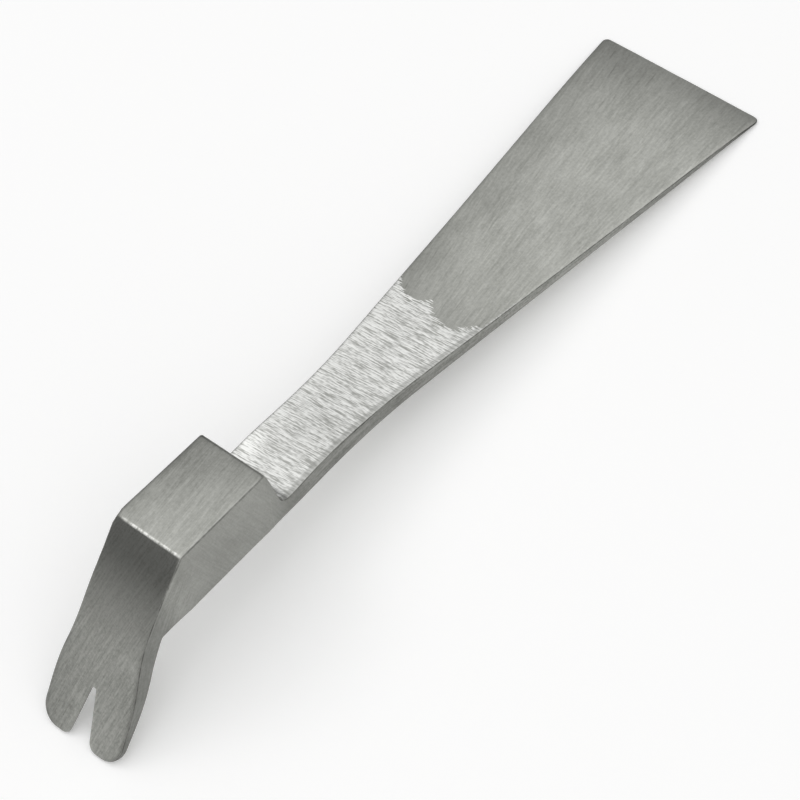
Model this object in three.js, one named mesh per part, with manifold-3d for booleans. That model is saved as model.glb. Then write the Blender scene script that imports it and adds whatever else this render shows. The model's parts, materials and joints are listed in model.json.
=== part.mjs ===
// Hive tool: one forging with a flared scraper blade, a flat neck, a hammer head and a notched claw.
// Millimetres. The body is drawn in its own frame: +X runs to the blade, +Y across, +Z up, with zero
// at the head's front top edge in X and at the flat underside in Z. It is then tilted to its rest.
import * as THREE from "three";
import { mergeVertices } from "three/addons/utils/BufferGeometryUtils.js";
import Module from "manifold-3d";

// Lengthwise sizes
const BLADE_REACH = 189.6; // head's front top edge to the blade's end
const HEAD_LENGTH = 28; // length of the head's flat top
const FACE_LENGTH = 55; // head's front top edge to the claw's tips, along the claw's face
const WAIST_SHARE = 0.326; // where the neck's sides meet the flare, as a share of the blade's reach
const WAIST_BLEND_SHARE = 0.085; // half the length of the bend there, as a share of the blade's reach
const GROUND_END_SHARE = 0.5; // end of the bright ground neck, as a share of the blade's reach
const SHARPENED_SHARE = 0.075; // sharpened length at the blade's end, as a share of the reach
const CROWNED_SHARE = 0.35; // length over which the crown fades in, as a share of the reach

// Widths
const HEAD_WIDTH = 20.8;
const HEAD_REAR_WIDTH = 20.1;
const CLAW_ROOT_WIDTH = 20.3; // the claw before its tines widen
const WAIST_WIDTH = 18.3; // width where the straight neck and flare lines meet
const BLADE_WIDTH = 49;
const CLAW_WIDTH = 24.8; // across the two tines at their widest

// Heights and thicknesses
const HEAD_HEIGHT = 18.9; // underside to the flat top
const NECK_THICKNESS = 5.1;
const NECK_DIP = 0.45; // how much thinner the neck is at the foot of the head
const TAPER_BLEND = 5; // half the length of the ease into the neck's taper
const GROUND_END_THICKNESS = 3.5;
const BLADE_LAND_THICKNESS = 1.65; // just before the sharpened end
const BLADE_EDGE_THICKNESS = 0.6;
const BLADE_CROWN = 0.25; // how much thinner the blade's end is at its corners, from below
const BEND_THICKNESS = 5.5; // claw, where it leaves the underside
const CLAW_THICKNESS = 5.1; // claw, where its wedge starts
const CLAW_TIP_THICKNESS = 0.9;

// Angles
const UPPER_FACE_ANGLE = THREE.MathUtils.degToRad(45.7); // claw's face below the level, at the head
const LOWER_FACE_ANGLE = THREE.MathUtils.degToRad(54.5); // and past its bend
const REAR_WALL_LEAN = THREE.MathUtils.degToRad(11.4); // head's rear wall from upright

// Nail notch
const NOTCH_DEPTH_SHARE = 0.273; // notch depth as a share of the face's length
const NOTCH_ROOT_RADIUS = 0.62;
const NOTCH_WALL_ANGLE = THREE.MathUtils.degToRad(10); // each wall from the middle line
const NOTCH_UNDERCUT = 0.7; // how fast the walls open towards the underside, per mm of depth
const UNDERCUT_LIMIT = 0.95; // most the opening may take of the mouth's radius

// Radii
const REAR_FILLET = 3.2;
const HEAD_REAR_EDGE = 0.8;
const HEAD_FRONT_EDGE = 0.5;
const HEEL_EDGE = 0.6; // the underside's bend into the claw
const HEEL_EASE_SHARE = 0.12; // the same bend down the claw, as a share of the way to the wedge
const WEDGE_EASE_SHARE = 0.25; // ease into the wedge, as a share of its length
const TINE_OUTER_RADIUS = 5.2;
const TINE_INNER_RADIUS = 2.6;
const BLADE_CORNER = 2;

// Stations along the claw's face, as shares of its length
const BEND_AT_SHARE = 0.382; // the face's bend
const FLARE_FROM_SHARE = 0.36; // start of the widening towards the tines
const WIDEST_SHARE = 0.82;
const WEDGE_AT_SHARE = 0.52; // start of the wedge

const CLAW_FROM_SHARE = 0.22; // top of the claw's own outline, inside the head
const HEAD_NARROWS_OVER = 6; // length over which the head narrows to the claw's root
const MARGIN = 5; // how far cutting prisms run past what they cut
const CURVE_STEPS = 14;
const WELD = 1e-4;

const wasm = await Module();
wasm.setup();

function solid(geometry) {
  const bare = geometry.clone();
  bare.deleteAttribute("normal");
  bare.deleteAttribute("uv");
  const merged = mergeVertices(bare, WELD);
  const mesh = new wasm.Mesh({
    numProp: 3,
    vertProperties: new Float32Array(merged.attributes.position.array),
    triVerts: new Uint32Array(merged.index.array),
  });
  return new wasm.Manifold(mesh);
}

function geometryOf(manifold) {
  const mesh = manifold.getMesh();
  const geometry = new THREE.BufferGeometry();
  geometry.setAttribute("position", new THREE.BufferAttribute(mesh.vertProperties, 3));
  geometry.setIndex(new THREE.BufferAttribute(mesh.triVerts, 1));
  geometry.computeVertexNormals();
  return geometry;
}

function prism(shape, depth) {
  const options = { depth, bevelEnabled: false, curveSegments: CURVE_STEPS };
  return new THREE.ExtrudeGeometry(shape, options).translate(0, 0, -depth / 2);
}

// The side view's own points, each tied to the sizes above.
function faceDirection(angle) {
  return new THREE.Vector2(-Math.cos(angle), -Math.sin(angle));
}

function inward(angle) {
  return new THREE.Vector2(Math.sin(angle), -Math.cos(angle));
}

function sidePoints() {
  const crown = new THREE.Vector2(0, HEAD_HEIGHT);
  const upper = faceDirection(UPPER_FACE_ANGLE);
  const lower = faceDirection(LOWER_FACE_ANGLE);
  const bendAt = FACE_LENGTH * BEND_AT_SHARE;
  const wedgeAt = FACE_LENGTH * WEDGE_AT_SHARE;
  const bend = crown.clone().addScaledVector(upper, bendAt);
  const tip = bend.clone().addScaledVector(lower, FACE_LENGTH - bendAt);
  const wedge = bend.clone().addScaledVector(lower, wedgeAt - bendAt);
  const underTip = tip.clone().addScaledVector(inward(LOWER_FACE_ANGLE), CLAW_TIP_THICKNESS);
  const underWedge = wedge.clone().addScaledVector(inward(LOWER_FACE_ANGLE), CLAW_THICKNESS);
  const level = (HEAD_HEIGHT * Math.cos(UPPER_FACE_ANGLE) - BEND_THICKNESS) / Math.sin(UPPER_FACE_ANGLE);
  const heel = new THREE.Vector2(-level, 0);
  return { crown, upper, lower, bend, tip, underTip, underWedge, heel };
}

function drawHeadTop(shape, p) {
  const frontEdge = p.crown.clone().addScaledVector(p.upper, HEAD_FRONT_EDGE);
  shape.lineTo(frontEdge.x, frontEdge.y);
  shape.quadraticCurveTo(p.crown.x, p.crown.y, HEAD_FRONT_EDGE, HEAD_HEIGHT);
  shape.lineTo(HEAD_LENGTH - HEAD_REAR_EDGE, HEAD_HEIGHT);
  const down = HEAD_REAR_EDGE;
  shape.quadraticCurveTo(
    HEAD_LENGTH,
    HEAD_HEIGHT,
    HEAD_LENGTH + down * Math.tan(REAR_WALL_LEAN),
    HEAD_HEIGHT - down,
  );
}

// Down the leaning rear wall and round its fillet onto the thin foot of the neck.
function drawRearWall(shape) {
  const foot = NECK_THICKNESS - NECK_DIP;
  const turn = Math.PI / 2 - REAR_WALL_LEAN;
  const reach = REAR_FILLET * Math.tan(turn / 2);
  const cornerX = HEAD_LENGTH + (HEAD_HEIGHT - foot) * Math.tan(REAR_WALL_LEAN);
  const centreX = cornerX + reach;
  const startAngle = Math.PI + REAR_WALL_LEAN;
  shape.absarc(centreX, foot + REAR_FILLET, REAR_FILLET, startAngle, Math.PI * 1.5, false);
  return new THREE.Vector2(centreX, foot);
}

// Back up to the neck's full thickness, then a long taper to the blade's sharpened end.
function drawNeckAndBladeTop(shape, foot) {
  const swell = foot.x + REAR_FILLET * 3;
  const taperFrom = swell + TAPER_BLEND;
  const taperOn = taperFrom + TAPER_BLEND;
  const groundEnd = BLADE_REACH * GROUND_END_SHARE;
  const land = BLADE_REACH * (1 - SHARPENED_SHARE);
  const slope = (NECK_THICKNESS - GROUND_END_THICKNESS) / (groundEnd - taperFrom);
  const onTop = NECK_THICKNESS - slope * TAPER_BLEND;
  const easeRun = (land - groundEnd) / 2;
  const easeTop = GROUND_END_THICKNESS - slope * easeRun;
  const full = NECK_THICKNESS;
  shape.bezierCurveTo(foot.x + REAR_FILLET, foot.y, swell - REAR_FILLET, full, swell, full);
  shape.lineTo(taperFrom - TAPER_BLEND / 2, full);
  shape.quadraticCurveTo(taperFrom, full, taperOn, onTop);
  shape.lineTo(groundEnd, GROUND_END_THICKNESS);
  shape.quadraticCurveTo(groundEnd + easeRun, easeTop, land, BLADE_LAND_THICKNESS);
  shape.lineTo(BLADE_REACH, BLADE_EDGE_THICKNESS);
}

function sideShape(p) {
  const shape = new THREE.Shape();
  const bendRun = (FACE_LENGTH * BEND_AT_SHARE) / 3;
  const aboveBend = p.bend.clone().addScaledVector(p.upper, -bendRun);
  const belowBend = p.bend.clone().addScaledVector(p.lower, bendRun);
  const beforeHeel = p.heel.clone().lerp(p.underWedge, HEEL_EASE_SHARE);
  shape.moveTo(p.tip.x, p.tip.y);
  shape.lineTo(belowBend.x, belowBend.y);
  shape.quadraticCurveTo(p.bend.x, p.bend.y, aboveBend.x, aboveBend.y);
  drawHeadTop(shape, p);
  const foot = drawRearWall(shape);
  drawNeckAndBladeTop(shape, foot);
  shape.lineTo(BLADE_REACH, 0);
  shape.lineTo(p.heel.x + HEEL_EDGE, 0);
  shape.quadraticCurveTo(p.heel.x, p.heel.y, beforeHeel.x, beforeHeel.y);
  const afterWedge = p.underWedge.clone().lerp(p.underTip, WEDGE_EASE_SHARE);
  shape.quadraticCurveTo(p.underWedge.x, p.underWedge.y, afterWedge.x, afterWedge.y);
  shape.lineTo(p.underTip.x, p.underTip.y);
  shape.closePath();
  return shape;
}

// Plan view of the head, neck and blade, from the heel to the blade's end.
function bodyPlan(heelX) {
  const waist = BLADE_REACH * WAIST_SHARE;
  const blend = BLADE_REACH * WAIST_BLEND_SHARE;
  const flare = (BLADE_WIDTH - WAIST_WIDTH) / 2 / (BLADE_REACH - waist);
  const taper = (HEAD_REAR_WIDTH - WAIST_WIDTH) / 2 / (waist - HEAD_LENGTH);
  const half = WAIST_WIDTH / 2;
  const end = BLADE_WIDTH / 2;
  const root = CLAW_ROOT_WIDTH / 2;
  const shape = new THREE.Shape();
  shape.moveTo(heelX, -root);
  shape.lineTo(-HEAD_NARROWS_OVER, -root);
  shape.lineTo(0, -HEAD_WIDTH / 2);
  shape.lineTo(HEAD_LENGTH, -HEAD_REAR_WIDTH / 2);
  shape.lineTo(waist - blend, -half - taper * blend);
  shape.quadraticCurveTo(waist, -half, waist + blend, -half - flare * blend);
  shape.lineTo(BLADE_REACH - BLADE_CORNER, -end + flare * BLADE_CORNER);
  shape.quadraticCurveTo(BLADE_REACH, -end, BLADE_REACH, -end + BLADE_CORNER);
  shape.lineTo(BLADE_REACH, end - BLADE_CORNER);
  shape.quadraticCurveTo(BLADE_REACH, end, BLADE_REACH - BLADE_CORNER, end - flare * BLADE_CORNER);
  shape.lineTo(waist + blend, half + flare * blend);
  shape.quadraticCurveTo(waist, half, waist - blend, half + taper * blend);
  shape.lineTo(HEAD_LENGTH, HEAD_REAR_WIDTH / 2);
  shape.lineTo(0, HEAD_WIDTH / 2);
  shape.lineTo(-HEAD_NARROWS_OVER, root);
  shape.lineTo(heelX, root);
  shape.closePath();
  return shape;
}

// Plan of the claw seen square to its face, without its notch: x along the face, y across.
function clawPlan() {
  const root = CLAW_ROOT_WIDTH / 2;
  const half = CLAW_WIDTH / 2;
  const from = FACE_LENGTH * CLAW_FROM_SHARE;
  const flareFrom = FACE_LENGTH * FLARE_FROM_SHARE;
  const widest = FACE_LENGTH * WIDEST_SHARE;
  const ease = (widest - flareFrom) / 2;
  const quarter = Math.PI / 2;
  const radius = TINE_OUTER_RADIUS;
  const centreX = FACE_LENGTH - radius;
  const centreY = half - radius;
  const shape = new THREE.Shape();
  shape.moveTo(from, -root);
  shape.lineTo(flareFrom, -root);
  shape.bezierCurveTo(flareFrom + ease, -root, widest - ease, -half, widest, -half);
  shape.absarc(centreX, -centreY, radius, -quarter, 0, false);
  shape.absarc(centreX, centreY, radius, 0, quarter, false);
  shape.lineTo(widest, half);
  shape.bezierCurveTo(widest - ease, half, flareFrom + ease, root, flareFrom, root);
  shape.lineTo(from, root);
  shape.closePath();
  return shape;
}

// The notch on the face: a round root, straight walls, and a mouth that rounds over both tines.
function notchPlan() {
  const rootX = FACE_LENGTH * (1 - NOTCH_DEPTH_SHARE) + NOTCH_ROOT_RADIUS;
  const wallX = rootX - NOTCH_ROOT_RADIUS * Math.sin(NOTCH_WALL_ANGLE);
  const wallY = NOTCH_ROOT_RADIUS * Math.cos(NOTCH_WALL_ANGLE);
  const radius = TINE_INNER_RADIUS;
  const mouthX = FACE_LENGTH - radius;
  const mouthY = wallY + (mouthX - wallX) * Math.tan(NOTCH_WALL_ANGLE);
  const centreY = mouthY + radius / Math.cos(NOTCH_WALL_ANGLE);
  const wallTurn = Math.PI / 2 - NOTCH_WALL_ANGLE;
  const rootTurn = Math.PI / 2 + NOTCH_WALL_ANGLE;
  const shape = new THREE.Shape();
  shape.moveTo(FACE_LENGTH + MARGIN, -centreY);
  shape.lineTo(FACE_LENGTH + MARGIN, centreY);
  shape.absarc(mouthX, centreY, radius, 0, -wallTurn, true);
  shape.absarc(rootX, 0, NOTCH_ROOT_RADIUS, rootTurn, Math.PI * 2 - rootTurn, false);
  shape.absarc(mouthX, -centreY, radius, wallTurn, 0, true);
  shape.closePath();
  return shape;
}

// From the claw's own plan to its place, with z running inward from the lower face.
function clawPlace(p) {
  const along = new THREE.Vector3(p.lower.x, 0, p.lower.y);
  const across = new THREE.Vector3(0, 1, 0);
  const through = along.clone().cross(across);
  const start = p.bend.clone().addScaledVector(p.lower, -FACE_LENGTH * BEND_AT_SHARE);
  const place = new THREE.Matrix4().makeBasis(along, across, through);
  return place.setPosition(start.x, 0, start.y);
}

function clawPrism(p) {
  const depth = BEND_THICKNESS + MARGIN * 2;
  const outline = prism(clawPlan(), depth).translate(0, 0, depth / 2 - MARGIN);
  return outline.applyMatrix4(clawPlace(p));
}

// Straight above the face and opening below it, no further than its mouth's rounding allows.
function notchPrism(p) {
  const below = (TINE_INNER_RADIUS * UNDERCUT_LIMIT) / NOTCH_UNDERCUT;
  const straight = prism(notchPlan(), MARGIN * 2);
  const opening = new THREE.ExtrudeGeometry(notchPlan(), {
    depth: MARGIN,
    bevelEnabled: true,
    bevelThickness: below,
    bevelSize: below * NOTCH_UNDERCUT,
    bevelSegments: 1,
    curveSegments: CURVE_STEPS,
  }).translate(0, 0, below);
  const place = clawPlace(p);
  return solid(straight.applyMatrix4(place)).add(solid(opening.applyMatrix4(place)));
}

// Takes a shallow hollow off each side of the blade's underside, deepest at the end's corners.
function crownCutter() {
  const half = BLADE_WIDTH / 2;
  const shape = new THREE.Shape();
  shape.moveTo(-half, -MARGIN);
  shape.lineTo(half, -MARGIN);
  shape.lineTo(half, BLADE_CROWN);
  shape.quadraticCurveTo(0, -BLADE_CROWN, -half, BLADE_CROWN);
  shape.closePath();
  const length = BLADE_REACH * CROWNED_SHARE;
  const place = new THREE.Matrix4().makeBasis(
    new THREE.Vector3(0, 1, 0),
    new THREE.Vector3(0, 0, 1),
    new THREE.Vector3(1, 0, 0),
  );
  const bar = prism(shape, length * 2).applyMatrix4(place);
  return solid(bar.rotateY(-Math.atan2(BLADE_CROWN, length)).translate(BLADE_REACH, 0, 0));
}

function bodySolid(p) {
  const across = Math.max(BLADE_WIDTH, CLAW_WIDTH) + MARGIN;
  const side = solid(prism(sideShape(p), across).rotateX(Math.PI / 2));
  const plan = solid(prism(bodyPlan(p.heel.x), (HEAD_HEIGHT + MARGIN) * 2));
  const claw = solid(clawPrism(p));
  const whole = side.intersect(plan.add(claw));
  return whole.subtract(notchPrism(p)).subtract(crownCutter());
}

// Tilted so the claw's tips and the blade's end share the ground, centred over the origin.
function atRest(geometry, p) {
  const rise = -p.underTip.y;
  const run = BLADE_REACH - p.underTip.x;
  geometry.rotateY(Math.atan2(rise, run));
  geometry.computeBoundingBox();
  const box = geometry.boundingBox;
  return geometry.translate(-(box.min.x + box.max.x) / 2, 0, -box.min.z);
}

const steel = new THREE.MeshStandardMaterial({ color: 0x9e9f9a, roughness: 0.38, metalness: 1 });
const points = sidePoints();
const body = new THREE.Mesh(atRest(geometryOf(bodySolid(points)), points), steel);
body.name = "tool_body";

const tool = new THREE.Group();
tool.name = "hive_tool";
tool.add(body);

export default tool;
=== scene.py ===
"""Hive tool: a forged steel scraper with a hammer head and a notched claw, in a plain studio."""

import json
import math
import types

import bmesh
import bpy
import numpy as np
from mathutils import Matrix, Vector, noise


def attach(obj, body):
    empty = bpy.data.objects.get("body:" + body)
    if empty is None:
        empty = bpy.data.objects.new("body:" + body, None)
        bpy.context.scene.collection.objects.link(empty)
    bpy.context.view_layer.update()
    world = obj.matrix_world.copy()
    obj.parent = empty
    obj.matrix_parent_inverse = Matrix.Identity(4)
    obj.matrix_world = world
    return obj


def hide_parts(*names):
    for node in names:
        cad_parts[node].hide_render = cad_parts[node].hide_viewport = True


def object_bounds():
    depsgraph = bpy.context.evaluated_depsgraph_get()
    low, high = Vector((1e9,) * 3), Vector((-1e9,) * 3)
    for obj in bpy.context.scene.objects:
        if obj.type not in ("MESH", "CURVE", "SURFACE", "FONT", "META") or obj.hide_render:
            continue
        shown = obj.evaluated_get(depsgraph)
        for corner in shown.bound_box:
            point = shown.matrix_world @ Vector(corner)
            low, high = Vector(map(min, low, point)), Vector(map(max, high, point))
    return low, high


bl_info = {
    "name": "Hive Tool",
    "version": (1, 0, 0),
    "blender": (4, 5, 0),
    "location": "View3D > Sidebar > Hive Tool",
    "description": "Builds a forged hive tool and the plain studio it lies in",
    "category": "Add Mesh",
}

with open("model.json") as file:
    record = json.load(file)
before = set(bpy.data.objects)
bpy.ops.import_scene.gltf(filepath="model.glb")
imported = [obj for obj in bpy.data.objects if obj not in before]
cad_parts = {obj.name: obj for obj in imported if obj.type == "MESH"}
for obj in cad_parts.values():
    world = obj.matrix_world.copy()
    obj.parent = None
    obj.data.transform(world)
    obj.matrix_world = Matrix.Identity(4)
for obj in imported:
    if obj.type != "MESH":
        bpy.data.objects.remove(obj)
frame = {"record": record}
CAD_LOW, CAD_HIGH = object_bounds()
NODE = "tool_body"
BODY = "root"
MM = 0.001
named = types.SimpleNamespace

# Fixed proportions of the forging: shares, or millimetres
BEND_SHARE = 0.382  # where the claw's face bends, as a share of its length
WEDGE_SHARE = 0.52  # where the claw starts to thin, as a share of its face
WEDGE_EASE_SHARE = 0.25  # part of the wedge that eases into it
HEEL_EASE_SHARE = 0.12  # part of the way to the wedge that the heel's bend takes
HEEL_EDGE = 0.6  # length of the heel's bend on the flat underside
FLARE_SHARE = 0.36  # where the claw starts to widen, as a share of its face
WIDEST_SHARE = 0.82  # where the claw is widest
UNDERCUT_LIMIT = 0.95  # most the notch may open, as a share of its mouth's radius
HEAD_NARROWS_OVER = 6.0  # length over which the head's width becomes the claw's
TAPER_BLEND = 5.0  # half the ease into the neck's taper
WAIST_SHARE = 0.326  # where the neck's sides meet the flare, as a share of the reach
WAIST_BLEND_SHARE = 0.085  # half the length of the bend there
GROUND_SHARE = 0.5  # where the bright grinding ends, as a share of the reach
SHARPENED_SHARE = 0.075  # sharpened length, as a share of the reach
LAND_EASE = 14.0  # length over which the blade eases into its sharpened end
LAND_EASE_SHARE = 0.7  # part of the sharpened length that the same ease takes
CROWNED_SHARE = 0.35  # length over which the crown fades in, as a share of the reach
HEAD_EDGE_BEFORE = 4.0  # the head's edge rounding fades in over this, on the claw
HEAD_EDGE_AFTER = 8.0  # and is gone this far behind the head's top,
HEAD_EDGE_FADE = 6.0  # fading over this

# How closely the skin is divided
ROW = np.append(np.linspace(0, 0.95, 14), 1.0)  # spacing from the middle to an edge
TURN_STEPS = 3  # round an edge
SIDE_STEPS = 6  # down a side
CLAW_RINGS = 16  # from the notch to the heel
ROOT_RUN = 1.4  # length of the claw's edge that is tied to the notch's round root
OUTER_SPLIT = 0.2  # where a tine's outer rounding is tied to the start of its inner one
HEEL_RUN = 1.6  # length of the claw's face that is tied to the heel's bend
THIN_SHARE = 0.4  # most that an edge's rounding may take of the thickness
NUDGE = 0.02  # step that finds a line's direction, in millimetres
ON_MIDDLE = 1e-6  # a point this near the middle line is on it
ROUND_STEPS = 16  # on a bend of the side view
EDGE_STEPS = 8  # on a rounded edge of an outline
LONG_STEPS = 40  # on the blade's long ease
PLAN_STEPS = 24  # on a bend of the plan view
MOUTH_STEPS = 20  # on the notch's mouth
HEAD_TIES = (0.04, 0.06, 0.94, 0.97)  # shares of the head below its top's front and rear edges

# Unevenness of hand grinding: repeats per millimetre along, across and up
BROAD_WAVES = (0.045, 0.11, 0.11)
CLOSE_WAVES = (0.13, 0.3, 0.3)
CLOSE_SHARE = 0.4  # height of the close waves beside the broad ones
CLOSE_SHIFT = (7.0, 0.0, 0.0)  # keeps the two from rising together
NECK_KNOCK = 58.0  # millimetres from the head's front to the knock on the neck

# Marks in the steel: repeats per millimetre along, across and below the grinding, then the
# noise's detail, its shift and its roughness where they aren't the usual ones
UNSHIFTED = (0.0, 0.0, 0.0)
SATIN_FINE = ((0.22, 2.4, 2.4), 2.0, UNSHIFTED, 0.6)
SATIN_WIDE = ((0.09, 0.9, 0.9), 2.0, (3.0, 0.0, 0.0))
SPECKLE = ((1.4, 1.4, 1.4), 2.0, (5.0, 5.0, 1.0), 0.75)
DRIFT = ((0.07, 0.09, 0.09), 2.0, (9.0, 4.0, 0.0))
SCRATCH = ((0.07, 1.5, 1.5), 0.0, (21.0, 8.0, 5.0))
STROKE_SWAY = ((0.2, 0.12, 0.0), 1.0)
STROKE_FINE = ((2.4, 0.17, 0.0), 0.0)
STROKE_THIN = ((3.1, 0.2, 0.0), 0.0, (5.0, 2.0, 0.0))
STROKE_SHORT = ((3.6, 0.8, 0.0), 0.0, (7.0, 3.0, 0.0))
STROKE_BROAD = ((0.25, 0.12, 0.0), 1.0, (5.0, 2.0, 0.0))
EDGE_WEAR = ((0.3, 0.3, 0.3), 3.0, UNSHIFTED, 0.7)
# Beads of the painted glint along the front edge
GLINT_BEADS = ((0.3, 0.8, 0.3), 2.0, UNSHIFTED, 0.7)
FLANK_SLANT = math.radians(66)  # the head's side is ground this far from lengthwise
GROOVE_DEPTH = 0.00004  # depth of the bumps, in metres

# Finish and light, by name: a pair is where something sets in and where it is full, in
# millimetres unless it reads a noise or a direction; other numbers are slopes or shares
MIDDLE = (-1.0, 1.0)  # from the near side to the far side, across the middle line
FLOW = named(
    claw_slope=0.27,
    head_slope=0.1,
    fan_line=30.0,  # the blade's lines fan out from a line this far to the near side,
    fan_start=100.0,  # have their plain spacing at this x
    fan_rate=0.0061,  # and spread by this share per millimetre
)
SATIN = named(
    middle=0.55,
    fine=1.0,
    wide=0.7,
    speckle=1.0,
    drift=0.75,
    scratch=0.35,
    scratch_at=(0.74, 0.84),
    scratched=0.1,
    speckle_height=0.4,
    scratch_height=0.6,
)
FLANK = named(
    front=(-5.0, 5.0),
    rear=(2.0, 14.0),
    stretch=0.6,
    lean=0.2,
    head_contrast=0.6,
    blade_contrast=1.9,
)
STROKES = named(
    sway=0.7,
    slope=0.07,
    fine=1.1,
    thin=2.3,
    short=1.4,
    broad=0.6,
    middle=0.6,
    # painted light: the strokes are brighter towards the far side
    far=0.1,
    far_at=(0.0, 12.0),
    thin_height=0.5,
)
PATCH = named(
    behind_head=(1.5, 3.0),
    below_top=(0.02, 0.12),
    border=(-0.4, 0.3),
    ragged=2.2,
    far_middle=7.2,  # its ragged end is two scallops: how far from the middle line each is,
    far_curve=0.1,  # how deep it curves and how far it stops short of the grinding's end
    far_short=0.8,
    near_middle=4.5,
    near_curve=0.09,
    near_short=2.6,
    sliver_past=15.2,  # the sliver along the near rim ends this far past the grinding's end
    sliver_taper=0.03,
    sliver_border=(-0.1, 0.15),
)
# Painted shade on the top: darker where less light falls, on the blade, the head and the claw
PAINTED_TOP_SHADE = named(
    blade_at=(60.0, 80.0),
    far=0.2,
    far_at=(0.0, 22.0),
    start=0.2,
    start_slope=0.4,
    start_at=(-6.8, 21.2),
    head=0.14,
    head_end=(0.0, 4.0),
    back=0.27,
    back_slope=0.8,
    back_past=6.0,
    rear=0.12,
    rear_at=(-1.4, 0.0),
    lip=0.12,
    lip_rim=(0.3, 1.6),
    lip_far=(0.0, 2.0),
    root=0.58,
    claw_lit=0.49,
    claw_lit_at=(5.0, 22.0),
    claw_low=0.04,
    claw_low_at=(34.0, 42.0),
    tips_at=(18.0, 34.0),
    tip_rim=0.2,
    tip_rim_at=(0.0, 1.3),
    tip_far=0.08,
    tip_far_at=(3.0, 9.0),
)
# Painted shade on the side faces, darker than the top as less light falls on them
PAINTED_SIDE_SHADE = named(
    everywhere=0.42,
    neck=0.12,
    neck_at=(-2.0, 6.0),
    flare=0.1,
    flare_at=(72.0, 100.0),
    blade=0.12,
    blade_at=(125.0, 170.0),
    claw=0.15,
    claw_at=(8.0, 20.0),
)
# Painted shade at the blade's end, more at its near corner
PAINTED_END_SHADE = named(
    near_at=(-20.0, 20.0),
    band=0.22,
    band_at=(-21.6, 6.4),
    corner=0.2,
    corner_at=(-10.6, 1.4),
)
EDGES = named(
    claw=0.85,
    head=0.45,
    neck=0.35,
    neck_at=(45.0, 60.0),
    far_neck=(0.0, 4.0),
    uneven=(0.36, 0.6),
    beads=(0.34, 0.66),
    polish_end=(-3.8, -1.6),
)
STEEL = named(
    claw_contrast=0.6,
    scratched=(60.0, 90.0),
    # painted shade on the cross-ground neck, along its near rim and at the head's foot
    rim=(0.9, 1.7),
    rim_strokes=0.45,
    rim_shade=0.12,
    foot=(4.0, 57.0),
    foot_far=(0.0, 10.0),
    foot_shade=0.14,
    roughness=0.4,
    smoother_satin=0.1,
    smoother_patch=0.05,
    stroke_height=1.6,
    bump=0.5,
)
FLOOR = named(radius=6.0, sides=96, roughness=0.9, specular=0.1, glow=0.15)
SKY = named(
    wall=0.16,
    front=0.35,
    front_at=(-0.6, 0.2),
    low=0.8,
    low_at=(0.0, 0.26),
    ceiling=1.05,
    ceiling_at=(0.42, 0.76),
)

# Studio: direction, distance, size and watts of each soft light
KEY = ((-0.08, 0.6, 0.8), 1.5, 0.6, 1.0)
FILL = ((-0.5, -0.6, 0.75), 1.8, 2.4, 3.5)
AIM_FROM_MIDDLE = (-0.00736, -0.01338, 0.00036)  # camera's aim from the tool's middle
SENSOR = 36.0
CLIP_END = 50.0

# ---------------------------------------------------------------- settings


def length(name, description, millimetres):
    return bpy.props.FloatProperty(
        name=name,
        description=description,
        default=millimetres * MM,
        unit="LENGTH",
        precision=5,
    )


def angle(name, description, degrees):
    return bpy.props.FloatProperty(
        name=name,
        description=description,
        default=math.radians(degrees),
        subtype="ANGLE",
    )


def share(name, description, default):
    return bpy.props.FloatProperty(
        name=name,
        description=description,
        default=default,
        min=0.0,
        max=1.0,
        subtype="FACTOR",
    )


def colour(name, description, default):
    return bpy.props.FloatVectorProperty(
        name=name,
        description=description,
        default=default,
        subtype="COLOR",
        min=0.0,
        max=1.0,
    )


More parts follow.
